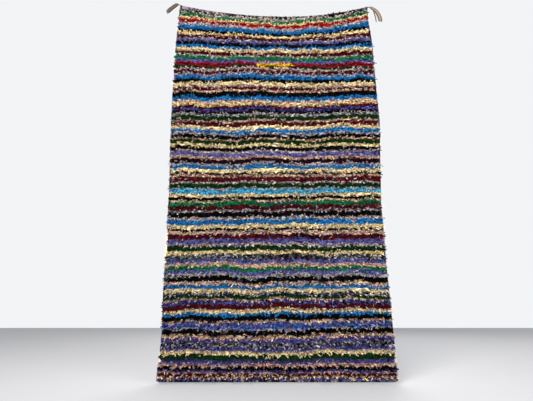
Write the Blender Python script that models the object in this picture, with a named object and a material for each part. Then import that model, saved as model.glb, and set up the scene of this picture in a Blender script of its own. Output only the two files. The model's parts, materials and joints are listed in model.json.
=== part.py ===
"""Knotted shag runner in narrow rows of pile, hung flat by its two top corners.

Metres, +Z up. The pile faces -Y and the flat back lies in the plane Y = 0.
The origin is on the back, at the middle of the top edge.
"""

import math

import bpy
import numpy as np

RUG_LENGTH = 1.646            # from the line between the top corners down to the foot
CORNER_HEIGHT = 0.058         # mean height of the two top corners over the origin
CORNER_TILT = 0.004           # the left corner is this much higher than the mean, the right one lower
CORNER_TILT_REACH = 0.05      # drop over which that tilt fades

SAG_AT_EDGE = 0.027           # how far the top edge hangs slack, beyond what the rows below share
SAG_AT_EDGE_REACH = 0.03
SAG_OF_ROWS = 0.032           # how far the upper rows hang slack together
SAG_OF_ROWS_REACH = 0.30
SAG_LOWEST = 0.10             # where the lowest point lies, as a share of the half width to the right

HEADING_HEIGHT = 0.018        # flat woven band over the first row of pile
END_HEIGHT = 0.010            # flat woven band under the last row
GROUND_THICKNESS = 0.004      # the woven ground that all knots sit in

ROW_COUNT = 113               # rows of pile
ROW_UNEVENNESS = 0.16         # share by which the height of a row differs from the mean
RIDGE_PLACE = 0.6             # where the pile of a row stands out most, from its upper to its lower side
RIDGE_DEPTH = 0.0245          # pile depth on a row
VALLEY_DEPTH = 0.0165         # pile depth between two rows
RIM_DEPTH = 0.0095            # pile depth where the slab meets a selvedge
LUMP_DEPTH = 0.003            # how much the tufts along a row differ in depth

SELVEDGE_WIDTH = 0.009        # overcast cord along each side
SELVEDGE_THICKNESS = 0.006
SIDE_LOCK_REACH = 0.015       # how far a tuft at the side stands forward of the cord
SIDE_LOCK_OUTWARD = 0.0025
END_LOCK_REACH = 0.017        # how far a tuft at the top or foot stands forward of its band
LOCK_DROOP = 0.005            # how far a tuft's tip hangs below its root
TOP_LOCK_LIFT = 0.001         # how far the topmost tufts, held up by the first row, rise over their roots
LOCK_TIP_SHARE = 0.35         # width of a tuft's tip as a share of its root

GAP = 0.0003                  # clearance between neighbouring pieces
END_GAP = 0.0008              # the same at the heading and the end, before the sag narrows it

RIM_SHARE = 0.015             # width of the rounded rim of the pile, as a share of the whole
INNER_COLUMNS = 11            # columns of tufts between the two rims
LOCKS_PER_COLUMN = 3          # tufts along the heading and the end, from one column to the next
FLAT_SHARE = 0.55             # share of such a band that shows its weave, beside its tufts

# Drop below the corner line, reach of the cloth to the left and reach to the right.
PROFILE = np.array(
    [
        (0.00, 0.446, 0.436),
        (0.04, 0.449, 0.435),
        (0.10, 0.454, 0.437),
        (0.18, 0.456, 0.445),
        (0.26, 0.458, 0.447),
        (0.48, 0.458, 0.450),
        (0.59, 0.457, 0.455),
        (0.74, 0.453, 0.446),
        (0.88, 0.448, 0.439),
        (0.95, 0.447, 0.435),
        (1.08, 0.448, 0.438),
        (1.22, 0.447, 0.439),
        (1.34, 0.446, 0.444),
        (1.46, 0.443, 0.447),
        (1.57, 0.445, 0.451),
        (1.60, 0.452, 0.450),
        (1.65, 0.452, 0.452),
    ]
)

# Length of the wave across the rug, its height, its phase, and how fast the phase changes with the drop.
ROW_WAVES = (
    (0.31, 0.0030, 0.4, 6.0),
    (0.17, 0.0020, 2.1, -9.0),
)
WAVE_FADE = 0.09              # the rows straighten this close to the top edge and the foot

TIE_WIDTH = 0.0125            # the wool tape of the corner ties
TIE_THICKNESS = 0.005
TIE_WAIST = 0.45              # thickness of the tape between its two rolled sides, as a share
STRAND_WIDTH = 0.005          # the loose strand beside the right tie
THREAD_WIDTH = 0.003          # the thread that knots a tie to its corner
FLATNESS = 0.9                # most that a tape, strand or thread is thick, as a share of its width
TIE_SEAT = SELVEDGE_THICKNESS + GAP + FLATNESS * THREAD_WIDTH / 2

# Stations along each tie: place to the right of the origin, depth forward, height, and width.
LEFT_TIE = (
    (-0.4415, TIE_SEAT, 0.0550, THREAD_WIDTH),
    (-0.4480, TIE_SEAT, 0.0585, THREAD_WIDTH),
    (-0.4525, 0.0085, 0.0605, THREAD_WIDTH * 1.3),
    (-0.4570, 0.0090, 0.0610, 0.0085),
    (-0.4640, 0.0095, 0.0575, TIE_WIDTH),
    (-0.4750, 0.0095, 0.0485, TIE_WIDTH),
    (-0.4880, 0.0090, 0.0365, TIE_WIDTH * 1.08),
    (-0.4990, 0.0080, 0.0255, TIE_WIDTH * 1.12),
    (-0.5040, 0.0075, 0.0205, TIE_WIDTH * 0.90),
)
RIGHT_TIE = (
    (0.4315, TIE_SEAT, 0.0450, THREAD_WIDTH),
    (0.4370, TIE_SEAT, 0.0470, THREAD_WIDTH),
    (0.4420, 0.0085, 0.0465, THREAD_WIDTH * 1.4),
    (0.4480, 0.0090, 0.0440, 0.0080),
    (0.4580, 0.0095, 0.0380, 0.0105),
    (0.4680, 0.0095, 0.0300, TIE_WIDTH * 0.95),
    (0.4760, 0.0090, 0.0200, TIE_WIDTH),
    (0.4820, 0.0085, 0.0080, TIE_WIDTH * 1.04),
    (0.4865, 0.0080, -0.0060, TIE_WIDTH * 1.10),
    (0.4895, 0.0075, -0.0200, TIE_WIDTH * 1.22),
    (0.4905, 0.0070, -0.0280, TIE_WIDTH * 1.05),
)
RIGHT_STRAND = (
    (0.4560, 0.0090, 0.0370, STRAND_WIDTH * 0.6),
    (0.4600, 0.0085, 0.0280, STRAND_WIDTH * 0.8),
    (0.4640, 0.0080, 0.0140, STRAND_WIDTH),
    (0.4670, 0.0075, -0.0020, STRAND_WIDTH),
    (0.4690, 0.0070, -0.0180, STRAND_WIDTH * 1.1),
    (0.4700, 0.0065, -0.0310, STRAND_WIDTH * 0.8),
)

# Each colour is linear RGB.
PILE_COLOUR = (0.135, 0.100, 0.125)
SELVEDGE_COLOUR = (0.33, 0.20, 0.13)
HEADING_COLOUR = (0.30, 0.25, 0.24)
TIE_COLOUR = (0.25, 0.19, 0.15)
WOOL_ROUGHNESS = 0.95


def clear_scene():
    for obj in list(bpy.data.objects):
        bpy.data.objects.remove(obj, do_unlink=True)


def wool(name, colour):
    material = bpy.data.materials.new(name)
    material.use_nodes = True
    shader = material.node_tree.nodes["Principled BSDF"]
    shader.inputs["Base Color"].default_value = (*colour, 1.0)
    shader.inputs["Roughness"].default_value = WOOL_ROUGHNESS
    shader.inputs["Metallic"].default_value = 0.0
    return material


def make_object(name, points, faces, material):
    mesh = bpy.data.meshes.new(name)
    mesh.from_pydata([tuple(point) for point in points], [], faces)
    mesh.materials.append(material)
    mesh.shade_smooth()
    mesh.set_sharp_from_angle(angle=math.radians(50))
    obj = bpy.data.objects.new(name, mesh)
    bpy.context.scene.collection.objects.link(obj)
    return obj


def left_edge(drop):
    return -np.interp(drop, PROFILE[:, 0], PROFILE[:, 1])


def right_edge(drop):
    return np.interp(drop, PROFILE[:, 0], PROFILE[:, 2])


def height(x, drop):
    """Height of the cloth at the place x, on the thread that leaves the sides at this drop."""
    middle = (left_edge(drop) + right_edge(drop)) / 2
    half_width = (right_edge(drop) - left_edge(drop)) / 2
    across = np.clip((x - middle) / half_width, -1, 1)
    from_lowest = (across - SAG_LOWEST) / np.where(across > SAG_LOWEST, 1 - SAG_LOWEST, 1 + SAG_LOWEST)
    sag = SAG_AT_EDGE * math.exp(-drop / SAG_AT_EDGE_REACH)
    sag += SAG_OF_ROWS * math.exp(-((drop / SAG_OF_ROWS_REACH) ** 2))
    tilt = CORNER_TILT * across * math.exp(-drop / CORNER_TILT_REACH)
    fade = min(1, drop / WAVE_FADE, (RUG_LENGTH - drop) / WAVE_FADE)
    wave = sum(
        rise * np.sin(2 * math.pi * x / length + phase + turn * drop)
        for length, rise, phase, turn in ROW_WAVES
    )
    return CORNER_HEIGHT - tilt - drop - sag * (1 - from_lowest**2) + fade * wave


def row_drops():
    """Drops of the borders of the pile rows, from the first row's upper side to the last row's lower."""
    numbers = np.arange(ROW_COUNT)
    heights = 1 + ROW_UNEVENNESS * (np.sin(2.4 * numbers) + 0.5 * np.sin(1.1 * numbers))
    borders = np.concatenate([[0], np.cumsum(heights)]) / heights.sum()
    first = HEADING_HEIGHT + END_GAP
    last = RUG_LENGTH - END_HEIGHT - END_GAP
    return first + borders * (last - first)


def column_shares():
    """Places of the columns between the two selvedges, from 0 to 1."""
    inner = np.linspace(0, 1, INNER_COLUMNS + 2)[1:-1]
    return np.concatenate([[0, RIM_SHARE], inner, [1 - RIM_SHARE, 1]])


def thread(drop, shares):
    """Points of the cloth between the selvedges, as rows of x and z."""
    left = left_edge(drop) + SELVEDGE_WIDTH + GAP
    right = right_edge(drop) - SELVEDGE_WIDTH - GAP
    x = left + (right - left) * shares
    return np.column_stack([x, height(x, drop)])


def forward(flat, depth):
    """Points in space from rows of x and z, at this depth in front of the back."""
    return np.column_stack([flat[:, 0], np.broadcast_to(-np.asarray(depth), len(flat)), flat[:, 1]])


def lump(station, column):
    """How much deeper or flatter the pile is here, from -1 to 1."""
    return 0.6 * math.sin(2.3 * column + 1.7 * station) + 0.4 * math.sin(4.9 * column - 2.9 * station)


def make_pile(drops, shares):
    """The body of the rug: ground and rows of pile as one lumpy slab with a flat back."""
    columns = len(shares)
    borders = [thread(drop, shares) for drop in drops]
    stations = []
    for row in range(ROW_COUNT):
        ridge = borders[row] + (borders[row + 1] - borders[row]) * RIDGE_PLACE
        stations.append((borders[row], VALLEY_DEPTH))
        stations.append((ridge, RIDGE_DEPTH))
    stations.append((borders[-1], VALLEY_DEPTH))

    front = []
    for number, (flat, depth) in enumerate(stations):
        depths = [depth + LUMP_DEPTH * lump(number, column) for column in range(columns)]
        depths[0] = depths[-1] = RIM_DEPTH
        front.append(forward(flat, depths))
    points = np.concatenate(front)
    faces = []
    for station in range(len(stations) - 1):
        for column in range(columns - 1):
            here = station * columns + column
            below = here + columns
            faces.append((here, below, below + 1, here + 1))

    # The back has the outline's points alone: the whole top edge, the right side, the foot, the left side.
    outline = list(range(columns))
    outline += [station * columns + columns - 1 for station in range(1, len(stations) - 1)]
    outline += [len(points) - 1 - column for column in range(columns)]
    outline += [station * columns for station in range(len(stations) - 2, 0, -1)]
    back_points = points[outline] * (1, 0, 1)
    back = {index: len(points) + place for place, index in enumerate(outline)}
    for place, index in enumerate(outline):
        following = outline[(place + 1) % len(outline)]
        faces.append((index, following, back[following], back[index]))

    # Below the slack top rows, each pair of stations gives one long face across the back.
    slack = front[0][:, 2].min() - HEADING_HEIGHT
    level = next(number for number, (flat, _) in enumerate(stations) if flat[0, 1] < slack)
    foot = len(stations) - 2
    top_part = [back[column] for column in range(columns)]
    top_part += [back[station * columns + columns - 1] for station in range(1, level + 1)]
    top_part += [back[station * columns] for station in range(level, 0, -1)]
    faces.append(tuple(top_part))
    for station in range(level, foot):
        left, right = station * columns, station * columns + columns - 1
        faces.append((back[left], back[right], back[right + columns], back[left + columns]))
    foot_part = [back[foot * columns], back[foot * columns + columns - 1]]
    foot_part += [back[len(points) - 1 - column] for column in range(columns)]
    faces.append(tuple(foot_part))
    points = np.concatenate([points, back_points])
    return make_object("rug_pile", points, faces, wool("pile_wool", PILE_COLOUR))


def add_lock(points, faces, root, reach):
    """A four-sided tuft on the root face, tapering to a small blunt tip. Its sides take the face's place."""
    corners = np.array([points[index] for index in root])
    middle = corners.mean(axis=0)
    first = len(points)
    points.extend(middle + reach + (corners - middle) * LOCK_TIP_SHARE)
    tip = list(range(first, first + 4))
    for side in range(4):
        after = (side + 1) % 4
        faces.append((root[side], root[after], tip[after], tip[side]))
    faces.append(tuple(tip))


def make_selvedge(name, drops, side):
    """The overcast cord along one side, with each row's outermost tuft. side is -1 for left, 1 for right."""
    edge = left_edge if side < 0 else right_edge
    top = [0, HEADING_HEIGHT + END_GAP / 2]
    foot = [RUG_LENGTH - END_HEIGHT, RUG_LENGTH]
    stations = np.concatenate([top, drops[1:-1], foot])
    points = []
    for drop in stations:
        outer = edge(drop)
        inner = outer - side * SELVEDGE_WIDTH
        low, high = sorted((inner, outer))
        for x, depth in ((low, 0), (high, 0), (high, SELVEDGE_THICKNESS), (low, SELVEDGE_THICKNESS)):
            points.append(np.array([x, -depth, height(x, drop)]))
    faces = [(3, 2, 1, 0)]
    last = len(stations) - 1
    reach = np.array([side * SIDE_LOCK_OUTWARD, -SIDE_LOCK_REACH, -LOCK_DROOP])
    for station in range(last):
        here = 4 * station
        for corner in (0, 1, 3):
            after = (corner + 1) % 4
            faces.append((here + corner, here + after, here + 4 + after, here + 4 + corner))
        front = (here + 3, here + 7, here + 6, here + 2)
        if 0 < station < last - 1:
            add_lock(points, faces, front, reach * (1 + 0.25 * math.sin(2.1 * station)))
        else:
            faces.append(front)
    end = 4 * last
    faces.append((end, end + 1, end + 2, end + 3))
    return make_object(name, points, faces, wool(name + "_wool", SELVEDGE_COLOUR))


def make_band(name, shares, near, far, lift):
    """A flat woven band from the edge, at the drop near, to the pile, at the drop far, with a row of tufts."""
    steps = np.arange(LOCKS_PER_COLUMN * (len(shares) - 3) + 1) / LOCKS_PER_COLUMN
    fine = np.concatenate([[0], np.interp(steps, np.arange(len(shares) - 2), shares[1:-1]), [1]])
    drops = (near, near + (far - near) * FLAT_SHARE, far)
    columns = len(fine)
    points = []
    for drop in drops:
        coarse = thread(drop, shares)
        flat = np.column_stack([np.interp(fine, shares, values) for values in coarse.T])
        points.extend(forward(flat, GROUND_THICKNESS))
    points.extend(np.array(point) * (1, 0, 1) for point in points[:columns] + points[2 * columns:])
    upward = near < far
    faces = []

    def add(*corners):
        faces.append(corners if upward else corners[::-1])

    back_near, back_far = 3 * columns, 4 * columns
    for column in range(columns - 1):
        middle, low = columns + column, 2 * columns + column
        add(column, middle, middle + 1, column + 1)
        root = (middle, low, low + 1, middle + 1)
        root = root if upward else root[::-1]
        if 0 < column < columns - 2:
            reach = np.array([0.0, -END_LOCK_REACH, lift]) * (1 + 0.2 * math.sin(2.7 * column))
            add_lock(points, faces, root, reach)
        else:
            faces.append(root)
        add(low, back_far + column, back_far + column + 1, low + 1)
        add(back_far + column, back_near + column, back_near + column + 1, back_far + column + 1)
        add(back_near + column, column, column + 1, back_near + column + 1)
    right = columns - 1
    add(0, back_near, back_far, 2 * columns, columns)
    add(right, columns + right, 2 * columns + right, back_far + right, back_near + right)
    return make_object(name, points, faces, wool(name + "_wool", HEADING_COLOUR))


def make_tape(name, stations, thickness, material):
    """A tape with two rolled sides, swept along its stations."""
    centres = np.array([(x, -depth, z) for x, depth, z, _ in stations])
    along = np.gradient(centres, axis=0)
    along /= np.linalg.norm(along, axis=1)[:, None]
    across = np.cross(along, (0.0, -1.0, 0.0))
    across /= np.linalg.norm(across, axis=1)[:, None]
    outward = np.cross(across, along)
    section = (
        (-0.50, 0.0),
        (-0.34, 0.5),
        (0.0, 0.5 * TIE_WAIST),
        (0.34, 0.5),
        (0.50, 0.0),
        (0.34, -0.5),
        (0.0, -0.5 * TIE_WAIST),
        (-0.34, -0.5),
    )
    points = []
    for centre, side, front, (_, _, _, width) in zip(centres, across, outward, stations):
        thick = min(thickness, width * FLATNESS)
        for over, through in section:
            points.append(centre + side * width * over + front * thick * through)
    count = len(section)
    faces = [tuple(count - 1 - corner for corner in range(count))]
    for station in range(len(stations) - 1):
        for corner in range(count):
            here = station * count + corner
            after = station * count + (corner + 1) % count
            faces.append((here, after, after + count, here + count))
    end = (len(stations) - 1) * count
    faces.append(tuple(end + corner for corner in range(count)))
    return make_object(name, points, faces, material)


def make_ties():
    """The wool ties at the two top corners. The right one has a loose strand beside its tape."""
    make_tape("corner_tie_left", LEFT_TIE, TIE_THICKNESS, wool("left_tie_wool", TIE_COLOUR))
    right_wool = wool("right_tie_wool", TIE_COLOUR)
    right = make_tape("corner_tie_right", RIGHT_TIE, TIE_THICKNESS, right_wool)
    strand = make_tape("right_strand_form", RIGHT_STRAND, STRAND_WIDTH, right_wool)
    strand.hide_render = True
    strand.display_type = "WIRE"
    join = right.modifiers.new("strand", "BOOLEAN")
    join.operation = "UNION"
    join.object = strand


def main():
    clear_scene()
    drops = row_drops()
    shares = column_shares()
    make_pile(drops, shares)
    make_selvedge("selvedge_left", drops, -1)
    make_selvedge("selvedge_right", drops, 1)
    make_band("heading_top", shares, 0.0, HEADING_HEIGHT, TOP_LOCK_LIFT)
    make_band("woven_end_foot", shares, RUG_LENGTH, RUG_LENGTH - END_HEIGHT, -LOCK_DROOP)
    make_ties()


main()
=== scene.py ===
import json
import math

import bpy
import numpy as np
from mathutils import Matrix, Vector

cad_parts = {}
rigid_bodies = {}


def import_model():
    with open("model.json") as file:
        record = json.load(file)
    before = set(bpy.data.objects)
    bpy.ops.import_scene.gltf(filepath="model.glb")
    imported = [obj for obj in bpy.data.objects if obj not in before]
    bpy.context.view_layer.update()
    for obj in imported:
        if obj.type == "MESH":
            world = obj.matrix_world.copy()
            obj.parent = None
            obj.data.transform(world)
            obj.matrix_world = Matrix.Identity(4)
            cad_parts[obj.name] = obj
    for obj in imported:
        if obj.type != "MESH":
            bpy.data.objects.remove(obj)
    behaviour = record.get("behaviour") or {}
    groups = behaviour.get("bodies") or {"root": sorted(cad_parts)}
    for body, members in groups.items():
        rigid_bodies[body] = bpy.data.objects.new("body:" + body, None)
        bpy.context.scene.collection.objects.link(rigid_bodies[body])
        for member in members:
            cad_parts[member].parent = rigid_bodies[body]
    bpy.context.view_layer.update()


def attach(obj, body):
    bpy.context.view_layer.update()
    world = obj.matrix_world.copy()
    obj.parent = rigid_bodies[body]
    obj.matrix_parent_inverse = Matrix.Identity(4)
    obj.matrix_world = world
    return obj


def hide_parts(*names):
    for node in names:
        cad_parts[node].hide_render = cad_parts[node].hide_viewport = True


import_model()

dice = np.random.default_rng(27)
rowDice = np.random.default_rng(3)
combDice = np.random.default_rng(8)

# Where the rug hangs: metres, +Z up, pile towards -Y, origin at the middle of the top edge on the back.
rug = {
    "length": 1.646,            # from the line between the corners down to the foot
    "cornerHeight": 0.058,
    "cornerTilt": 0.004,
    "tiltReach": 0.05,
    "edgeSag": 0.027,
    "edgeSagReach": 0.03,
    "rowSag": 0.032,
    "rowSagReach": 0.30,
    "sagLowest": 0.10,          # share of the half width to the right of the middle
    "waveFade": 0.09,
    "heading": 0.018,           # flat-woven band at the top
    "footBand": 0.010,          # flat-woven band at the foot
    "selvedge": 0.009,          # width of the overcast cord
    "floor": -1.594,
}

# Drop below the corner line, reach to the left, reach to the right.
profile = np.array([
    (0.00, 0.446, 0.436),
    (0.04, 0.449, 0.435),
    (0.10, 0.454, 0.437),
    (0.18, 0.456, 0.445),
    (0.26, 0.458, 0.447),
    (0.48, 0.458, 0.450),
    (0.59, 0.457, 0.455),
    (0.74, 0.453, 0.446),
    (0.88, 0.448, 0.439),
    (0.95, 0.447, 0.435),
    (1.08, 0.448, 0.438),
    (1.22, 0.447, 0.439),
    (1.34, 0.446, 0.444),
    (1.46, 0.443, 0.447),
    (1.57, 0.445, 0.451),
    (1.60, 0.452, 0.450),
    (1.65, 0.452, 0.452),
])

# Wave length across the rug, height, phase, and turn of the phase with the drop.
rowWaves = (
    (0.31, 0.0030, 0.4, 6.0),
    (0.17, 0.0020, 2.1, -9.0),
)

# Dyed yarns: red, green, blue from 0 to 255, before the wool softens them.
yarns = {
    "cream": (252, 226, 166),
    "ivory": (248, 240, 216),
    "black": (9, 8, 11),
    "taupe": (204, 184, 180),
    "grey": (184, 180, 182),
    "smoke": (82, 76, 82),
    "peach": (234, 190, 162),
    "coral": (212, 130, 102),
    "salmon": (230, 160, 136),
    "rust": (170, 88, 44),
    "maroon": (92, 10, 22),
    "wine": (70, 12, 40),
    "red": (188, 16, 24),
    "crimson": (164, 14, 28),
    "blue": (26, 131, 205),
    "royal": (40, 76, 184),
    "sky": (70, 190, 236),
    "forest": (20, 62, 24),
    "kelly": (27, 130, 81),
    "periwinkle": (108, 106, 182),
    "violet": (72, 66, 146),
    "gold": (252, 196, 14),
    "teal": (20, 94, 95),
    "aubergine": (38, 12, 28),
    "mint": (136, 204, 156),
    # brownTapeEdge and fawnTapeEdge are painted shade for the rolls of the tapes, not dyes of their own
    "brownTape": (57, 45, 34),
    "brownTapeEdge": (29, 20, 14),
    "fawnTape": (97, 84, 70),
    "fawnTapeEdge": (57, 44, 35),
    "weft": (150, 136, 128),
    "rose": (228, 128, 132),
}
softness = 0.10                 # how far every dye is drawn towards its own grey

# What a row of each kind is knotted from: yarn and share.
mixes = {
    "black": (("black", 0.97), ("smoke", 0.03)),
    "brokenBlack": (("black", 0.62), ("smoke", 0.16), ("taupe", 0.12), ("cream", 0.10)),
    "taupe": (
        ("taupe", 0.60), ("ivory", 0.08), ("grey", 0.12), ("peach", 0.06), ("smoke", 0.11), ("maroon", 0.03),
    ),
    "grey": (("grey", 0.66), ("taupe", 0.18), ("smoke", 0.10), ("black", 0.06)),
    "kelly": (("kelly", 0.94), ("forest", 0.06)),
    "forest": (("forest", 0.94), ("black", 0.06)),
    "cream": (("cream", 0.95), ("ivory", 0.05)),
    "fleckedCream": (("cream", 0.74), ("peach", 0.10), ("coral", 0.09), ("rust", 0.07)),
    "red": (("red", 0.94), ("crimson", 0.06)),
    "crimson": (("crimson", 0.88), ("maroon", 0.12)),
    "maroon": (("maroon", 0.90), ("wine", 0.06), ("taupe", 0.04)),
    "blue": (("blue", 0.94), ("royal", 0.06)),
    "sky": (("sky", 0.86), ("blue", 0.14)),
    "mixedBlue": (("periwinkle", 0.34), ("blue", 0.16), ("royal", 0.36), ("black", 0.08), ("grey", 0.06)),
    "periwinkle": (("periwinkle", 0.86), ("violet", 0.10), ("grey", 0.04)),
    "dusk": (("violet", 0.60), ("periwinkle", 0.37), ("grey", 0.03)),
    "violet": (("violet", 0.42), ("periwinkle", 0.36), ("black", 0.22)),
    "peach": (("peach", 0.56), ("cream", 0.15), ("coral", 0.13), ("taupe", 0.13), ("smoke", 0.03)),
    "greyPeach": (("peach", 0.52), ("taupe", 0.30), ("cream", 0.10), ("smoke", 0.08)),
    "salmon": (("peach", 0.50), ("salmon", 0.20), ("taupe", 0.14), ("coral", 0.08), ("smoke", 0.08)),
    "aubergine": (("aubergine", 0.80), ("wine", 0.12), ("black", 0.08)),
    "smoke": (("black", 0.44), ("smoke", 0.16), ("grey", 0.28), ("ivory", 0.03), ("periwinkle", 0.09)),
    "gold": (("gold", 0.94), ("cream", 0.03), ("coral", 0.03)),
    "teal": (("teal", 0.80), ("forest", 0.20)),
    "tealGrey": (("teal", 0.26), ("black", 0.34), ("grey", 0.24), ("smoke", 0.16)),
}

# The rows from the top down: kind and height in millimetres.
rowChart = """
black 7, black 7, taupe 13, kelly 18, cream 10, red 20, taupe 16, blue 22, black 13, cream 15,
maroon 18, taupe 7, periwinkle 13, black 18, blue 15, cream 17, maroon 17, taupe 9, kelly 18,
periwinkle 13, crimson 18, forest 12, taupe 11, maroon 16, grey 11, blue 17, black 17, cream 18,
taupe 7, maroon 13, peach 9, black 24, blue 17, taupe 5, fleckedCream 21, maroon 10, violet 14,
black 11, grey 11, forest 19, greyPeach 7, maroon 20, cream 16, blue 16, grey 10, black 16, peach 7,
forest 18, cream 14, black 16, taupe 9, periwinkle 18, peach 10, aubergine 20, grey 10, blue 15,
cream 15, brokenBlack 11, peach 9, maroon 20, taupe 9, forest 18, grey 7, sky 18, cream 13, black 12,
peach 8, kelly 17, maroon 18, grey 9, black 20, taupe 11, blue 21, cream 16, black 9,
greyPeach 14, maroon 20, periwinkle 18, taupe 10, forest 19, cream 14, tealGrey 20, periwinkle 14,
peach 13, kelly 15, periwinkle 13, grey 11, black 20, greyPeach 12, blue 15, cream 15, smoke 10,
forest 13, greyPeach 8, violet 15, maroon 17, cream 13, blue 10, black 17, peach 9, mixedBlue 20,
grey 5, black 17, peach 12, dusk 12, smoke 19, dusk 12, cream 15, forest 16, dusk 15, salmon 11,
black 15, dusk 9, salmon 7, maroon 10, cream 8, dusk 9
"""

# Stretches of a row that are knotted from another mix: row, from x, to x, mix, share.
patches = (
    (2, -0.300, 0.250, "taupe", 0.50),
    (21, -0.087, 0.070, "gold", 0.98),
    (22, -0.085, -0.040, "gold", 0.70),
    (22, -0.040, 0.066, "gold", 0.35),
    (68, -0.038, 0.069, "teal", 0.90),
    (77, 0.054, 0.195, "aubergine", 0.90),
    (82, -0.066, 0.192, "aubergine", 0.85),
    (82, 0.192, 0.460, "smoke", 0.90),
)

# How far the rows rise or fall all across the rug: drop in metres, rise in millimetres.
rowTrend = (
    (0.02, 0), (0.05, 2), (0.13, 10), (0.21, 10), (0.45, 6), (0.62, 1),
    (0.80, 0), (1.00, -3), (1.25, -8), (1.40, -7), (1.58, -11), (1.635, 0),
)

# Swells of the rows: place across from 0 at the left to 1, drop in metres, rise in millimetres, and how far
# each reaches across, as a share of the width, and down, in metres.
rowSwells = (
    (0.54, 0.11, -15, 0.08, 0.11),
    (0.99, 0.07, 16, 0.06, 0.10),
    (0.06, 0.06, 8, 0.12, 0.06),
    (0.30, 0.17, 6, 0.06, 0.07),
    (0.66, 0.20, 5, 0.05, 0.08),
    (0.20, 0.32, -7, 0.05, 0.16),
    (0.78, 0.32, -9, 0.07, 0.16),
    (0.30, 0.38, 13, 0.07, 0.12),
    (0.01, 0.46, -11, 0.05, 0.14),
    (0.99, 0.35, -6, 0.05, 0.12),
    (0.92, 0.51, 15, 0.07, 0.11),
    (0.31, 0.70, -14, 0.07, 0.15),
    (0.66, 0.70, -9, 0.06, 0.17),
    (0.80, 0.68, 9, 0.08, 0.13),
    (0.42, 0.76, 8, 0.06, 0.13),
    (0.07, 0.80, 7, 0.04, 0.14),
    (0.01, 0.92, -5, 0.04, 0.10),
    (0.18, 0.97, -8, 0.07, 0.12),
    (0.80, 0.97, 8, 0.12, 0.08),
    (0.42, 1.08, 6, 0.07, 0.10),
    (0.30, 1.22, 8, 0.06, 0.13),
    (0.66, 1.24, 7, 0.07, 0.18),
    (0.42, 1.25, -10, 0.05, 0.06),
    (0.05, 1.38, -9, 0.06, 0.06),
    (0.54, 1.36, 9, 0.06, 0.06),
    (0.40, 1.50, -9, 0.13, 0.08),
    (0.78, 1.42, 6, 0.05, 0.06),
    (0.96, 1.44, 13, 0.08, 0.09),
)
swellFade = {"top": 0.015, "foot": 1.64, "reach": 0.03}


def linear(name):
    # The softened dye as linear light.
    rgb = np.array(yarns[name]) / 255
    rgb = rgb + softness * (rgb @ (0.299, 0.587, 0.114) - rgb)
    return np.where(rgb <= 0.04045, rgb / 12.92, ((rgb + 0.055) / 1.055) ** 2.4)


def leftEdge(drop):
    return -np.interp(drop, profile[:, 0], profile[:, 1])


def rightEdge(drop):
    return np.interp(drop, profile[:, 0], profile[:, 2])


def clothHeight(x, drop):
    # Height of the cloth at x, on the thread that leaves the sides at this drop.
    x, drop = np.broadcast_arrays(np.asarray(x, float), np.asarray(drop, float))
    middle = (leftEdge(drop) + rightEdge(drop)) / 2
    halfWidth = (rightEdge(drop) - leftEdge(drop)) / 2
    across = np.clip((x - middle) / halfWidth, -1, 1)
    lowest = rug["sagLowest"]
    fromLowest = (across - lowest) / np.where(across > lowest, 1 - lowest, 1 + lowest)
    sag = rug["edgeSag"] * np.exp(-drop / rug["edgeSagReach"])
    sag = sag + rug["rowSag"] * np.exp(-((drop / rug["rowSagReach"]) ** 2))
    tilt = rug["cornerTilt"] * across * np.exp(-drop / rug["tiltReach"])
    fade = np.clip(np.minimum(drop, rug["length"] - drop) / rug["waveFade"], 0, 1)
    wave = sum(
        rise * np.sin(2 * math.pi * x / span + phase + turn * drop)
        for span, rise, phase, turn in rowWaves
    )
    return rug["cornerHeight"] - tilt - drop - sag * (1 - fromLowest**2) + fade * wave


def liftOfRows(x, drop):
    # The rows' own unevenness, which fades out at the top and the foot.
    share = (x - leftEdge(drop)) / (rightEdge(drop) - leftEdge(drop))
    lift = np.interp(drop, [row[0] for row in rowTrend], [row[1] for row in rowTrend])
    fade = np.minimum(drop - swellFade["top"], swellFade["foot"] - drop) / swellFade["reach"]
    fade = np.clip(fade, 0, 1)
    for place, height, rise, across, down in rowSwells:
        lift = lift + fade * rise * np.exp(-(((share - place) / across) ** 2) - ((drop - height) / down) ** 2)
    return lift / 1000


def newObject(name, mesh):
    piece = bpy.data.objects.new(name, mesh)
    bpy.context.scene.collection.objects.link(piece)
    return piece


def meshFrom(name, points, faces, smooth=True):
    mesh = bpy.data.meshes.new(name)
    mesh.from_pydata([tuple(point) for point in points], [], faces)
    if smooth:
        mesh.shade_smooth()
    return mesh


def paint(mesh, name, colours):
    # One colour for each point of the mesh.
    layer = mesh.attributes.new(name, "FLOAT_COLOR", "POINT")
    rgba = np.ones((len(mesh.vertices), 4), np.float32)
    rgba[:, :3] = colours
    layer.data.foreach_set("color", rgba.ravel())


def unwrap(mesh, name, corners):
    # One UV place for each corner of each face, in the order of the faces.
    layer = mesh.uv_layers.new(name=name)
    layer.data.foreach_set("uv", np.asarray(corners, np.float32).ravel())


# The camera, at the photograph's place: low in front of the rug, tilted up.
view = {
    "place": (-0.040, -1.677, -1.320),
    "tiltUp": 14.45,
    "focal": 417.0,             # in pixels of an image 533 wide
    "imageWidth": 533.0,
    "sensor": 36.0,
}
cameraData = bpy.data.cameras.new("camera")
cameraData.sensor_width = view["sensor"]
cameraData.lens = view["focal"] / view["imageWidth"] * view["sensor"]
camera = newObject("camera", cameraData)
camera.location = view["place"]
camera.rotation_euler = (math.radians(90 + view["tiltUp"]), 0, 0)
bpy.context.scene.camera = camera
print("camera set")


def addNode(tree, kind, **settings):
    made = tree.nodes.new(kind)
    for key, value in settings.items():
        setattr(made, key, value)
    return made


def link(tree, value, socket):
    if isinstance(value, (int, float, tuple)):
        socket.default_value = value
    else:
        tree.links.new(value, socket)


def calc(tree, operation, *values):
    made = addNode(tree, "ShaderNodeMath", operation=operation)
    for place, value in enumerate(values):
        link(tree, value, made.inputs[place])
    return made.outputs[0]


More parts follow.
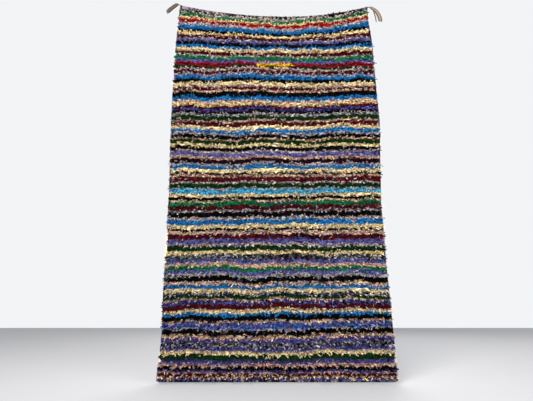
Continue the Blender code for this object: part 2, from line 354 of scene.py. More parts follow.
def shaderGroup(name, inputs, outputs):
    group = bpy.data.node_groups.new(name, "ShaderNodeTree")
    for label, kind, value in inputs:
        socket = group.interface.new_socket(label, in_out="INPUT", socket_type=kind)
        socket.default_value = value
    for label, kind in outputs:
        group.interface.new_socket(label, in_out="OUTPUT", socket_type=kind)
    return group, group.nodes.new("NodeGroupInput").outputs, group.nodes.new("NodeGroupOutput").inputs


def makeWoolFibre():
    # Fine fibres of spun wool: a tone that varies along them, and their height.
    group, given, out = shaderGroup(
        "woolFibre",
        (
            ("Vector", "NodeSocketVector", (0, 0, 0)),
            ("Fineness", "NodeSocketFloat", 900.0),
            ("Contrast", "NodeSocketFloat", 0.25),
        ),
        (("Tone", "NodeSocketFloat"), ("Height", "NodeSocketFloat")),
    )
    fine = addNode(group, "ShaderNodeTexNoise", noise_dimensions="3D")
    fine.inputs["Detail"].default_value = 3.0
    fine.inputs["Roughness"].default_value = 0.65
    group.links.new(given["Vector"], fine.inputs["Vector"])
    group.links.new(given["Fineness"], fine.inputs["Scale"])
    swing = calc(group, "SUBTRACT", fine.outputs["Fac"], 0.5)
    group.links.new(calc(group, "MULTIPLY_ADD", swing, given["Contrast"], 1.0), out["Tone"])
    group.links.new(fine.outputs["Fac"], out["Height"])
    return group


def makePlyTwist():
    # Strands twisted round each other, from a UV map that runs round the yarn and along it. Its tone is
    # painted shade, darker in the grooves between the strands.
    group, given, out = shaderGroup(
        "plyTwist",
        (
            ("UV", "NodeSocketVector", (0, 0, 0)),
            ("Plies", "NodeSocketFloat", 2.0),
            ("Turns", "NodeSocketFloat", 3.0),
            ("Contrast", "NodeSocketFloat", 0.2),
        ),
        (("Tone", "NodeSocketFloat"), ("Height", "NodeSocketFloat")),
    )
    parts = addNode(group, "ShaderNodeSeparateXYZ")
    group.links.new(given["UV"], parts.inputs[0])
    around = calc(group, "MULTIPLY", parts.outputs["X"], given["Plies"])
    along = calc(group, "MULTIPLY_ADD", parts.outputs["Y"], given["Turns"], around)
    height = calc(group, "ABSOLUTE", calc(group, "SINE", calc(group, "MULTIPLY", along, math.pi)))
    # painted shade: the tone falls where the height is low, in the grooves between the plies
    swing = calc(group, "SUBTRACT", height, 0.64)
    group.links.new(calc(group, "MULTIPLY_ADD", swing, given["Contrast"], 1.0), out["Tone"])
    group.links.new(height, out["Height"])
    return group


def makeStrandTone():
    # A tone for each yarn end of a tuft. The whole part of the UV map's first value tells the ends apart.
    group, given, out = shaderGroup(
        "strandTone",
        (
            ("UV", "NodeSocketVector", (0, 0, 0)),
            ("Tuft", "NodeSocketFloat", 0.5),
            ("Contrast", "NodeSocketFloat", 0.2),
        ),
        (("Tone", "NodeSocketFloat"),),
    )
    parts = addNode(group, "ShaderNodeSeparateXYZ")
    group.links.new(given["UV"], parts.inputs[0])
    end = calc(group, "MULTIPLY", calc(group, "FLOOR", parts.outputs["X"]), 2.4)
    swing = calc(group, "SINE", calc(group, "MULTIPLY_ADD", given["Tuft"], 37.0, end))
    group.links.new(calc(group, "MULTIPLY_ADD", swing, given["Contrast"], 1.0), out["Tone"])
    return group


def makeWeaveRelief():
    # Weft beaten down over warps: beads along each rib, set half a bead apart from rib to rib. Its tone is
    # painted shade, darker in the hollows between ribs and beads.
    group, given, out = shaderGroup(
        "weaveRelief",
        (
            ("UV", "NodeSocketVector", (0, 0, 0)),
            ("Contrast", "NodeSocketFloat", 0.5),
        ),
        (("Tone", "NodeSocketFloat"), ("Height", "NodeSocketFloat")),
    )
    parts = addNode(group, "ShaderNodeSeparateXYZ")
    group.links.new(given["UV"], parts.inputs[0])
    rib = calc(group, "ABSOLUTE", calc(group, "SINE", calc(group, "MULTIPLY", parts.outputs["Y"], math.pi)))
    shift = calc(group, "MULTIPLY", calc(group, "FLOOR", parts.outputs["Y"]), 0.5)
    across = calc(group, "MULTIPLY", calc(group, "ADD", parts.outputs["X"], shift), math.pi)
    bead = calc(group, "ABSOLUTE", calc(group, "SINE", across))
    height = calc(group, "MULTIPLY", rib, calc(group, "MULTIPLY_ADD", bead, 0.6, 0.4))
    # painted shade: the tone falls where the height is low, in the hollows of the weave
    swing = calc(group, "SUBTRACT", height, 0.5)
    group.links.new(calc(group, "MULTIPLY_ADD", swing, given["Contrast"], 1.0), out["Tone"])
    group.links.new(height, out["Height"])
    return group


woolFibre = makeWoolFibre()
plyTwist = makePlyTwist()
strandTone = makeStrandTone()
weaveRelief = makeWeaveRelief()


def makeWool(name, look):
    # Wool with its dye in the piece's own colours, a tone for each tuft or stitch, and its own relief.
    wool = bpy.data.materials.new(name)
    wool.use_nodes = True
    tree = wool.node_tree
    shader = tree.nodes["Principled BSDF"]
    shader.inputs["Roughness"].default_value = look["roughness"]
    shader.inputs["Specular IOR Level"].default_value = look["specular"]
    shader.inputs["Sheen Weight"].default_value = look["sheen"]
    shader.inputs["Sheen Roughness"].default_value = 0.6
    place = addNode(tree, "ShaderNodeTexCoord")
    mapping = addNode(tree, "ShaderNodeMapping")
    mapping.inputs["Scale"].default_value = look["stretch"]
    tree.links.new(place.outputs["Object"], mapping.inputs["Vector"])
    fibre = addNode(tree, "ShaderNodeGroup", node_tree=woolFibre)
    fibre.inputs["Fineness"].default_value = look["fineness"]
    fibre.inputs["Contrast"].default_value = look["fibreContrast"]
    tree.links.new(mapping.outputs["Vector"], fibre.inputs["Vector"])
    form = addNode(tree, "ShaderNodeGroup", node_tree=look["form"])
    spread = addNode(tree, "ShaderNodeUVMap", uv_map="yarn")
    tree.links.new(spread.outputs["UV"], form.inputs["UV"])
    for label, value in look["formInputs"].items():
        form.inputs[label].default_value = value
    tone = addNode(tree, "ShaderNodeAttribute", attribute_name="tuftTone")
    low, high = look["toneRange"]
    brightness = calc(tree, "MULTIPLY_ADD", tone.outputs["Fac"], high - low, low)
    brightness = calc(tree, "MULTIPLY", brightness, fibre.outputs["Tone"])
    brightness = calc(tree, "MULTIPLY", brightness, form.outputs["Tone"])
    if "strandContrast" in look:
        strand = addNode(tree, "ShaderNodeGroup", node_tree=strandTone)
        strand.inputs["Contrast"].default_value = look["strandContrast"]
        tree.links.new(spread.outputs["UV"], strand.inputs["UV"])
        tree.links.new(tone.outputs["Fac"], strand.inputs["Tuft"])
        brightness = calc(tree, "MULTIPLY", brightness, strand.outputs["Tone"])
    # painted shade: each tuft's yarn is darkened towards its root, where the pile shades it
    if "paintedRootShade" in look:
        ends = addNode(tree, "ShaderNodeSeparateXYZ")
        tree.links.new(spread.outputs["UV"], ends.inputs[0])
        fade = addNode(tree, "ShaderNodeMapRange", interpolation_type="SMOOTHSTEP")
        fade.inputs["From Min"].default_value = 0.1
        fade.inputs["From Max"].default_value = 0.8
        fade.inputs["To Min"].default_value = look["paintedRootShade"]
        fade.inputs["To Max"].default_value = 1.0
        tree.links.new(ends.outputs["Y"], fade.inputs["Value"])
        brightness = calc(tree, "MULTIPLY", brightness, fade.outputs["Result"])
    dye = addNode(tree, "ShaderNodeAttribute", attribute_name="yarnColour")
    shade = addNode(tree, "ShaderNodeVectorMath", operation="SCALE")
    tree.links.new(dye.outputs["Color"], shade.inputs[0])
    tree.links.new(brightness, shade.inputs["Scale"])
    tree.links.new(shade.outputs["Vector"], shader.inputs["Base Color"])
    relief = addNode(tree, "ShaderNodeBump")
    relief.inputs["Strength"].default_value = look["bump"]
    relief.inputs["Distance"].default_value = look["relief"]
    height = calc(tree, "MULTIPLY_ADD", fibre.outputs["Height"], 0.4, form.outputs["Height"])
    tree.links.new(height, relief.inputs["Height"])
    tree.links.new(relief.outputs["Normal"], shader.inputs["Normal"])
    return wool


pileWool = makeWool("pileWool", {
    "roughness": 0.95,
    "specular": 0.02,
    "sheen": 0.0,
    "stretch": (1.0, 0.28, 1.0),
    "fineness": 700.0,
    "fibreContrast": 0.6,
    "form": plyTwist,
    "formInputs": {"Plies": 2.0, "Turns": 5.0, "Contrast": 0.30},
    "toneRange": (0.82, 1.13),
    # painted shade at the roots of the tufts
    "paintedRootShade": 0.40,
    "strandContrast": 0.34,
    "bump": 0.6,
    "relief": 0.0006,
})
cordWool = makeWool("cordWool", {
    "roughness": 0.95,
    "specular": 0.02,
    "sheen": 0.0,
    "stretch": (1.0, 1.0, 1.0),
    "fineness": 900.0,
    "fibreContrast": 0.5,
    "form": plyTwist,
    "formInputs": {"Plies": 2.0, "Turns": 9.0, "Contrast": 0.30},
    "toneRange": (0.80, 1.12),
    "bump": 0.6,
    "relief": 0.0005,
})
wovenWool = makeWool("wovenWool", {
    "roughness": 0.96,
    "specular": 0.08,
    "sheen": 0.03,
    "stretch": (0.5, 1.0, 1.0),
    "fineness": 1100.0,
    "fibreContrast": 0.5,
    "form": weaveRelief,
    "formInputs": {"Contrast": 0.7},
    "toneRange": (1.0, 1.0),
    "bump": 0.8,
    "relief": 0.0008,
})
tieWool = makeWool("tieWool", {
    "roughness": 0.90,
    "specular": 0.15,
    "sheen": 0.05,
    "stretch": (1.0, 1.0, 0.35),
    "fineness": 1300.0,
    "fibreContrast": 0.9,
    "form": plyTwist,
    "formInputs": {"Plies": 14.0, "Turns": 3.0, "Contrast": 0.25},
    "toneRange": (1.0, 1.0),
    "bump": 0.6,
    "relief": 0.0004,
})
print("materials made")


def geometryTree(name, inputs):
    tree = bpy.data.node_groups.new(name, "GeometryNodeTree")
    tree.is_modifier = True
    tree.interface.new_socket("Geometry", in_out="INPUT", socket_type="NodeSocketGeometry")
    for label, kind, value in inputs:
        socket = tree.interface.new_socket(label, in_out="INPUT", socket_type=kind)
        if value is not None:
            socket.default_value = value
    tree.interface.new_socket("Geometry", in_out="OUTPUT", socket_type="NodeSocketGeometry")
    return tree, tree.nodes.new("NodeGroupInput").outputs, tree.nodes.new("NodeGroupOutput").inputs[0]


def vectorCalc(tree, operation, *values):
    made = addNode(tree, "ShaderNodeVectorMath", operation=operation)
    sockets = [made.inputs[0], made.inputs["Scale"] if operation == "SCALE" else made.inputs[1]]
    for value, socket in zip(values, sockets):
        link(tree, value, socket)
    return made.outputs["Vector"]


def combine(tree, x, y, z):
    made = addNode(tree, "ShaderNodeCombineXYZ")
    for value, socket in zip((x, y, z), made.inputs):
        link(tree, value, socket)
    return made.outputs[0]


def named(tree, label, kind):
    made = addNode(tree, "GeometryNodeInputNamedAttribute", data_type=kind)
    made.inputs["Name"].default_value = label
    return made.outputs["Attribute"]


def chance(tree, kind, low, high, seed, offset):
    made = addNode(tree, "FunctionNodeRandomValue", data_type=kind)
    suffix = {"FLOAT": "_001", "FLOAT_VECTOR": "", "INT": "_002"}[kind]
    sockets = {socket.identifier: socket for socket in made.inputs}
    link(tree, low, sockets["Min" + suffix])
    link(tree, high, sockets["Max" + suffix])
    link(tree, calc(tree, "ADD", seed, offset), sockets["Seed"])
    return {socket.identifier: socket for socket in made.outputs}["Value" + suffix]


def store(tree, geometry, label, kind, value):
    made = addNode(tree, "GeometryNodeStoreNamedAttribute", data_type=kind, domain="POINT")
    tree.links.new(geometry, made.inputs["Geometry"])
    made.inputs["Name"].default_value = label
    link(tree, value, made.inputs["Value"])
    return made.outputs["Geometry"]


def eulerTurn(tree, value):
    made = addNode(tree, "FunctionNodeEulerToRotation")
    tree.links.new(value, made.inputs[0])
    return made.outputs[0]


def dress(tree, geometry, wool, out):
    made = addNode(tree, "GeometryNodeSetMaterial")
    tree.links.new(geometry, made.inputs["Geometry"])
    tree.links.new(wool, made.inputs["Material"])
    tree.links.new(made.outputs[0], out)


def makeTuftTree():
    # A tuft on every point: aimed by the point's own attributes, with its own lean, length and tone.
    tree, value, out = geometryTree("tufts", (
        ("Tufts", "NodeSocketCollection", None),
        ("Last tuft", "NodeSocketInt", 11),
        ("Pile depth", "NodeSocketFloat", 0.024),
        ("Yarn width", "NodeSocketFloat", 0.004),
        ("Droop", "NodeSocketFloat", 0.3),
        ("Lean across", "NodeSocketFloat", 0.3),
        ("Lean upright", "NodeSocketFloat", 0.3),
        ("Unevenness", "NodeSocketFloat", 0.15),
        ("Clump size", "NodeSocketFloat", 0.012),
        ("Clump pull", "NodeSocketFloat", 0.006),
        ("Seed", "NodeSocketInt", 1),
        ("Wool", "NodeSocketMaterial", None),
    ))
    seed = value["Seed"]
    rootPlace = addNode(tree, "GeometryNodeInputPosition").outputs[0]
    points = store(tree, value["Geometry"], "rootPlace", "FLOAT_VECTOR", rootPlace)
    clump = addNode(tree, "ShaderNodeTexNoise", noise_dimensions="3D")
    clump.inputs["Detail"].default_value = 1.0
    tree.links.new(rootPlace, clump.inputs["Vector"])
    tree.links.new(calc(tree, "DIVIDE", 1.0, value["Clump size"]), clump.inputs["Scale"])
    tone = calc(tree, "MULTIPLY_ADD", chance(tree, "FLOAT", 0.0, 1.0, seed, 11), 0.55, -0.28)
    tone = calc(tree, "MULTIPLY_ADD", clump.outputs["Fac"], 1.0, tone)
    points = store(tree, points, "tuftTone", "FLOAT", tone)

    leans = combine(tree, value["Lean upright"], 0.0, value["Lean across"])
    swing = chance(tree, "FLOAT_VECTOR", (-1.0, -1.0, -1.0), (1.0, 1.0, 1.0), seed, 23)
    turn = vectorCalc(tree, "MULTIPLY", swing, leans)
    turn = vectorCalc(tree, "SCALE", turn, named(tree, "sway", "FLOAT"))
    turn = vectorCalc(tree, "ADD", turn, named(tree, "aim", "FLOAT_VECTOR"))
    turn = vectorCalc(tree, "ADD", turn, combine(tree, value["Droop"], 0.0, 0.0))

    shorter = calc(tree, "SUBTRACT", 1.0, value["Unevenness"])
    longer = calc(tree, "ADD", 1.0, value["Unevenness"])
    length = chance(tree, "FLOAT", shorter, longer, seed, 37)
    length = calc(tree, "MULTIPLY", length, named(tree, "reach", "FLOAT"))
    length = calc(tree, "MULTIPLY", length, value["Pile depth"])
    width = chance(tree, "FLOAT", shorter, longer, seed, 41)
    width = calc(tree, "MULTIPLY", width, value["Yarn width"])

    choice = addNode(tree, "GeometryNodeCollectionInfo")
    choice.inputs["Separate Children"].default_value = True
    choice.inputs["Reset Children"].default_value = True
    tree.links.new(value["Tufts"], choice.inputs["Collection"])
    place = addNode(tree, "GeometryNodeInstanceOnPoints")
    tree.links.new(points, place.inputs["Points"])
    tree.links.new(choice.outputs[0], place.inputs["Instance"])
    place.inputs["Pick Instance"].default_value = True
    tree.links.new(chance(tree, "INT", 0, value["Last tuft"], seed, 53), place.inputs["Instance Index"])
    tree.links.new(eulerTurn(tree, turn), place.inputs["Rotation"])
    tree.links.new(combine(tree, width, length, width), place.inputs["Scale"])
    real = addNode(tree, "GeometryNodeRealizeInstances")
    tree.links.new(place.outputs[0], real.inputs[0])

    # Neighbouring tips are pulled the same way, so they gather in clumps. The pull grows towards the tip.
    here = addNode(tree, "GeometryNodeInputPosition").outputs[0]
    root = named(tree, "rootPlace", "FLOAT_VECTOR")
    away = addNode(tree, "ShaderNodeVectorMath", operation="DISTANCE")
    tree.links.new(here, away.inputs[0])
    tree.links.new(root, away.inputs[1])
    along = calc(tree, "DIVIDE", away.outputs["Value"], value["Pile depth"])
    pull = calc(tree, "MULTIPLY", calc(tree, "POWER", along, 1.5), value["Clump pull"])
    drawn = addNode(tree, "ShaderNodeTexNoise", noise_dimensions="3D")
    drawn.inputs["Detail"].default_value = 1.0
    tree.links.new(root, drawn.inputs["Vector"])
    tree.links.new(calc(tree, "DIVIDE", 1.0, value["Clump size"]), drawn.inputs["Scale"])
    drift = vectorCalc(tree, "SUBTRACT", drawn.outputs["Color"], (0.5, 0.5, 0.5))
    drift = vectorCalc(tree, "MULTIPLY", drift, (3.5, 1.5, 1.2))
    drift = vectorCalc(tree, "SCALE", drift, pull)
    moved = addNode(tree, "GeometryNodeSetPosition")
    tree.links.new(real.outputs[0], moved.inputs["Geometry"])
    tree.links.new(drift, moved.inputs["Offset"])
    clean = addNode(tree, "GeometryNodeRemoveAttribute")
    clean.inputs["Name"].default_value = "rootPlace"
    tree.links.new(moved.outputs[0], clean.inputs["Geometry"])
    dress(tree, clean.outputs[0], value["Wool"], out)
    return tree


def makeStitchTree():
    # One wrap of yarn on every point, turned by the point's own attribute.
    tree, value, out = geometryTree("stitches", (
        ("Wrap", "NodeSocketObject", None),
        ("Unevenness", "NodeSocketFloat", 0.06),
        ("Seed", "NodeSocketInt", 1),
        ("Wool", "NodeSocketMaterial", None),
    ))
    seed = value["Seed"]
    points = store(tree, value["Geometry"], "tuftTone", "FLOAT", chance(tree, "FLOAT", 0.0, 1.0, seed, 3))
    shorter = calc(tree, "SUBTRACT", 1.0, value["Unevenness"])
    longer = calc(tree, "ADD", 1.0, value["Unevenness"])
    source = addNode(tree, "GeometryNodeObjectInfo")
    tree.links.new(value["Wrap"], source.inputs["Object"])
    place = addNode(tree, "GeometryNodeInstanceOnPoints")
    tree.links.new(points, place.inputs["Points"])
    tree.links.new(source.outputs["Geometry"], place.inputs["Instance"])
    tree.links.new(eulerTurn(tree, named(tree, "aim", "FLOAT_VECTOR")), place.inputs["Rotation"])
    tree.links.new(chance(tree, "FLOAT", shorter, longer, seed, 7), place.inputs["Scale"])
    real = addNode(tree, "GeometryNodeRealizeInstances")
    tree.links.new(place.outputs[0], real.inputs[0])
    dress(tree, real.outputs[0], value["Wool"], out)
    return tree


def pointCloud(name, places, colours, aims, reaches, sways):
    mesh = bpy.data.meshes.new(name)
    mesh.vertices.add(len(places))
    mesh.vertices.foreach_set("co", np.asarray(places, np.float32).ravel())
    paint(mesh, "yarnColour", colours)
    aim = mesh.attributes.new("aim", "FLOAT_VECTOR", "POINT")
    aim.data.foreach_set("vector", np.asarray(aims, np.float32).ravel())
    reach = mesh.attributes.new("reach", "FLOAT", "POINT")
    reach.data.foreach_set("value", np.asarray(reaches, np.float32))
    sway = mesh.attributes.new("sway", "FLOAT", "POINT")
    sway.data.foreach_set("value", np.asarray(sways, np.float32))
    mesh.update()
    return mesh


def growOn(name, cloud, tree, settings):
    # The tree's result on these points, as a plain mesh.
    roots = newObject(name + "Roots", cloud)
    modifier = roots.modifiers.new("grow", "NODES")
    modifier.node_group = tree
    sockets = {item.name: item.identifier for item in tree.interface.items_tree if item.in_out == "INPUT"}
    for label, value in settings.items():
        modifier[sockets[label]] = value
    graph = bpy.context.evaluated_depsgraph_get()
    mesh = bpy.data.meshes.new_from_object(roots.evaluated_get(graph))
    mesh.name = name
    for spare in ("aim", "reach", "sway"):
        if spare in mesh.attributes:
            mesh.attributes.remove(mesh.attributes[spare])
    roots.modifiers.remove(modifier)
    bpy.data.objects.remove(roots, do_unlink=True)
    return newObject(name, mesh)


tuftTree = makeTuftTree()
stitchTree = makeStitchTree()
print("node trees built")

# One tuft is two yarn ends that leave the same knot. Its length and width are 1, and the rug scales them.
tuft = {
    "variants": 12,
    "ends": 2,
    "sides": 3,
    "stations": ((0.40, 0.42), (1.0, 0.37)),    # share of the length, radius
    "spread": 0.42,
    "bend": 0.14,
}


def makeTufts():
    # Variants of a tuft, along -Y, whose ends part in other ways.
    group = bpy.data.collections.new("tuftForms")
    shapes = np.random.default_rng(5)
    count = tuft["sides"]
    for number in range(tuft["variants"]):
        points = []
        faces = []
        corners = []
        facing = shapes.uniform(0, 2 * math.pi)
        for end in range(tuft["ends"]):
            root = len(points)
            first = root + 1
            points.append((0.0, 0.06, 0.0))
            angle = facing + 2 * math.pi * end / tuft["ends"] + shapes.uniform(-0.5, 0.5)
            aside = np.array([math.cos(angle), math.sin(angle)]) * tuft["spread"]
            bend = shapes.normal(0, tuft["bend"], 2)
            reach = shapes.uniform(0.86, 1.06)
            spin = shapes.uniform(0, math.pi)
            for share, radius in tuft["stations"]:
                centre = aside * share**0.8 + bend * math.sin(share * 2.4)
                for side in range(count):
                    around = spin + 2 * math.pi * side / count
                    ragged = shapes.uniform(-0.05, 0.05) if share == 1.0 else 0
                    points.append((
                        centre[0] + radius * math.cos(around),
                        -(share + ragged) * reach,
                        centre[1] + radius * math.sin(around),
                    ))
            middle = tuft["stations"][0][0]
            for side in range(count):
                after = (side + 1) % count
                u, v = side / count, (side + 1) / count
                faces.append((root, first + side, first + after))
                corners += [(end + u, 0), (end + u, middle), (end + v, middle)]
                faces.append((first + side, first + count + side, first + count + after, first + after))
                corners += [(end + u, middle), (end + u, 1), (end + v, 1), (end + v, middle)]
            faces.append(tuple(first + count + side for side in range(count)))
            corners += [(end + 0.5, 1)] * count
        mesh = meshFrom(f"tuft{number:02d}", points, faces)
        unwrap(mesh, "yarn", corners)
        group.objects.link(bpy.data.objects.new(mesh.name, mesh))
    return group


pile = {
    "rootDepth": 0.0022,        # the roots lie inside the woven ground
    "depth": 0.0245,
    "yarnWidth": 0.0040,
    "droop": 0.44,              # radians below level
    "footDroop": -0.34,         # radians added by the foot, where the tufts droop less
    "combed": 0.50,             # how far the tufts of a row lie over together, to one side or the other
    "leanAcross": 0.50,
    "leanUpright": 0.20,
    "unevenness": 0.12,
    "clumpSize": 0.014,
    "clumpPull": 0.0035,
    "linePitch": 0.0061,        # one line of knots to the next
    "knotPitch": 0.0061,        # one knot to the next along a line
    "firstDrop": 0.017,
    "rimInset": 0.0055,         # the outermost tufts stand this far in from the edge
    "strayShare": 0.012,
    "longest": 1.00,            # limit of a stray's length, as a share of the pile's depth
    "sideClear": 0.006,         # how far inside the edge the tips at the sides end
    "footClear": 0.012,         # how far over the floor the tips at the foot end
    "rimReach": 0.014,          # width of the strip along each side whose tufts lie stiller
    "slackFrom": -0.33,         # stretch of the first row that is worn shorter
    "slackTo": 0.24,
    "slackLength": 0.62,
    "firstLift": 0.08,          # the tufts of the first row stand this much more level, in radians
    "wander": 0.0030,           # how far the edge of a row strays from its thread
    "gridReach": 0.47,          # the curves along the rows run this far to both sides
    "gridPoints": 95,
    "noiseReach": 0.6,          # random curves run this far to both sides
    "rowWaves": ((1.0, 0.045), (0.85, 0.016)),     # share, span: how a row's edge swings
    "calmRows": 3,              # rows over which the swing grows from the top
    "carriedOver": 0.6,         # share of its swing that a row takes from the one above
    "combWaves": ((1.0, 0.06), (0.5, 0.024)),
    "combScatter": (0.10, 0.012),
    "dipWaves": ((0.06, 0.03), (0.06, 0.011)),
    "lengthWaves": (0.05, 0.05),
    "lineShift": 0.3,           # a line starts this share of a knot further in, at most
    "knotScatter": 0.16,
    "heightScatter": 0.0010,
    "looseness": 1.45,
    "rimStillness": 0.85,       # share of the looseness that the tufts at the sides lack
    "rimShorter": 0.12,
    "combLength": 1.2,          # the most that a tuft lying over is lengthened
    "steepestShare": 0.9,
    "strayLength": (1.1, 1.3),
    "sections": 6,
}


def readChart():
    # Kind, first drop and height of each row, drawn out to fill the rug exactly.
    rows = []
    drop = 0.0
    for entry in rowChart.replace("\n", " ").split(","):
        kind, tall = entry.split()
        rows.append((kind, drop, int(tall)))
        drop += int(tall)
    scale = (rug["length"] - rug["footBand"] - pile["firstDrop"]) / drop
    return [(kind, pile["firstDrop"] + top * scale, tall * scale) for kind, top, tall in rows]


def drawYarns(kind, count):
    palette = np.array([linear(name) for name, share in mixes[kind]])
    shares = np.array([share for name, share in mixes[kind]])
    return palette[dice.choice(len(palette), size=count, p=shares / shares.sum())]


def smoothNoise(x, span, source=dice):
    # A gentle random curve along x, from -1 to 1.
    knots = np.arange(-pile["noiseReach"], pile["noiseReach"] + span, span)
    return np.interp(x, knots, source.uniform(-1, 1, len(knots)))


def steepestTo(room):
    # How far a tuft may lean over, in radians, where its tip has this much room.
    return np.arcsin(np.clip(room / pile["depth"], 0, pile["steepestShare"]))


def waves(x, parts, source=dice):
    # Random curves of several spans, added up.
    return sum(share * smoothNoise(x, span, source) for share, span in parts)


def layKnots():
    # Every knot of the rug: place, colour, aim, length and looseness, line by line from the top.
    lines = []
    grid = np.linspace(-pile["gridReach"], pile["gridReach"], pile["gridPoints"])
    wander = np.zeros(len(grid))
    for number, (kind, top, tall) in enumerate(readChart(), start=1):
        count = max(1, round(tall / pile["linePitch"]))
        swing = waves(grid, pile["rowWaves"], rowDice) * min(1, number / pile["calmRows"])
        wander = pile["carriedOver"] * wander + pile["wander"] * swing
        combed = pile["combed"] * waves(grid, pile["combWaves"], combDice)
        for step in range(count):
            drop = top + tall * (step + 0.5) / count
            left = leftEdge(drop) + pile["rimInset"]
            right = rightEdge(drop) - pile["rimInset"]
            x = np.arange(left, right, pile["knotPitch"])
            x = x + dice.uniform(0, pile["lineShift"]) * pile["knotPitch"]
            x = np.clip(x + dice.normal(0, pile["knotScatter"], len(x)) * pile["knotPitch"], left, right)
            z = clothHeight(x, drop) + liftOfRows(x, drop) + np.interp(x, grid, wander)
            z = z + dice.normal(0, pile["heightScatter"], len(x))
            colours = drawYarns(kind, len(x))
            for row, start, end, mix, share in patches:
                if row == number:
                    inside = (x > start) & (x < end) & (dice.random(len(x)) < share)
                    colours[inside] = drawYarns(mix, inside.sum())
            comb = np.interp(x, grid, combed) + waves(x, (pile["combScatter"],))
            inward = steepestTo(x - leftEdge(drop) - pile["sideClear"])
            outward = steepestTo(rightEdge(drop) - x - pile["sideClear"])
            comb = np.clip(comb, -inward, outward)
            steepest = steepestTo(z - rug["floor"] - pile["footClear"])
            rim = np.clip(1 - np.minimum(x - left, right - x) / pile["rimReach"], 0, 1)
            dip = waves(x, pile["dipWaves"]) + pile["footDroop"] * drop / rug["length"]
            dip = np.minimum(dip, steepest - pile["droop"])
            aims = np.column_stack([dip, np.zeros(len(x)), comb])
            sways = pile["looseness"] * (1 - pile["rimStillness"] * rim)
            lengthened = np.minimum(1 / np.cos(comb), pile["combLength"])
            reaches = lengthened + waves(x, (pile["lengthWaves"],)) - pile["rimShorter"] * rim
            stray = dice.random(len(x)) < pile["strayShare"]
            reaches[stray] *= dice.uniform(*pile["strayLength"], stray.sum())
            reaches = np.minimum(reaches, pile["longest"] * lengthened)
            if number == 1:
                slack = (x > pile["slackFrom"]) & (x < pile["slackTo"])
                reaches[slack] *= pile["slackLength"]
                aims[:, 0] -= pile["firstLift"]
            places = np.column_stack([x, np.full(len(x), -pile["rootDepth"]), z])
            lines.append((places, colours, aims, reaches, sways))
    return lines


def makePile():
    tuftForms = makeTufts()
    lines = layKnots()
    pieces = []
    for section, numbers in enumerate(np.array_split(np.arange(len(lines)), pile["sections"]), start=1):
        parts = [np.concatenate([lines[number][column] for number in numbers]) for column in range(5)]
        piece = growOn(f"knotted_pile_{section}", pointCloud("knots", *parts), tuftTree, {
            "Tufts": tuftForms,
            "Last tuft": tuft["variants"] - 1,
            "Pile depth": pile["depth"],
            "Yarn width": pile["yarnWidth"],
            "Droop": pile["droop"],
            "Lean across": pile["leanAcross"],
            "Lean upright": pile["leanUpright"],
            "Unevenness": pile["unevenness"],
            "Clump size": pile["clumpSize"],
            "Clump pull": pile["clumpPull"],
            "Seed": 100 * section,
            "Wool": pileWool,
        })
        pieces.append(piece)
        print(piece.name, len(parts[0]), "tufts")
    for form in list(tuftForms.objects):
        bpy.data.objects.remove(form, do_unlink=True)
    bpy.data.collections.remove(tuftForms)
    return pieces


pilePieces = makePile()

# The ground that the tufts are knotted into. Its back shows a raised line of knots for each line of pile.
weave = {
    "columns": 28,
    "thickness": 0.0034,
    "knotRise": 0.0007,
    "knotShare": 0.62,          # share of a line's height that its knots take, with weft below them
    "knotsAcross": 226,
    "clear": 0.003,             # overlap with the cord at each side
    # painted shade: the knots' dye on the front of the ground is darkened by this share
    "underPileShade": 0.45,          # brightness of the side under the pile
}


def shadeFront(mesh):
    # The side under the pile takes the knots' colours with painted shade, darkened where the pile shades it,
    # and the back keeps its own.
    centres = np.empty(len(mesh.polygons) * 3, np.float32)
    mesh.polygons.foreach_get("center", centres)
    front = centres.reshape(-1, 3)[:, 1] < -weave["thickness"] / 2
    sizes = np.empty(len(mesh.polygons), np.int32)
    mesh.polygons.foreach_get("loop_total", sizes)
    front = np.repeat(front, sizes)
    tints = np.empty(len(mesh.loops) * 4, np.float32)
    under = np.empty(len(mesh.loops) * 4, np.float32)
    mesh.attributes["yarnColour"].data.foreach_get("color", tints)
    mesh.attributes["underColour"].data.foreach_get("color", under)
    tints.reshape(-1, 4)[front] = under.reshape(-1, 4)[front]
    mesh.attributes["yarnColour"].data.foreach_set("color", tints)
    mesh.attributes.remove(mesh.attributes["underColour"])


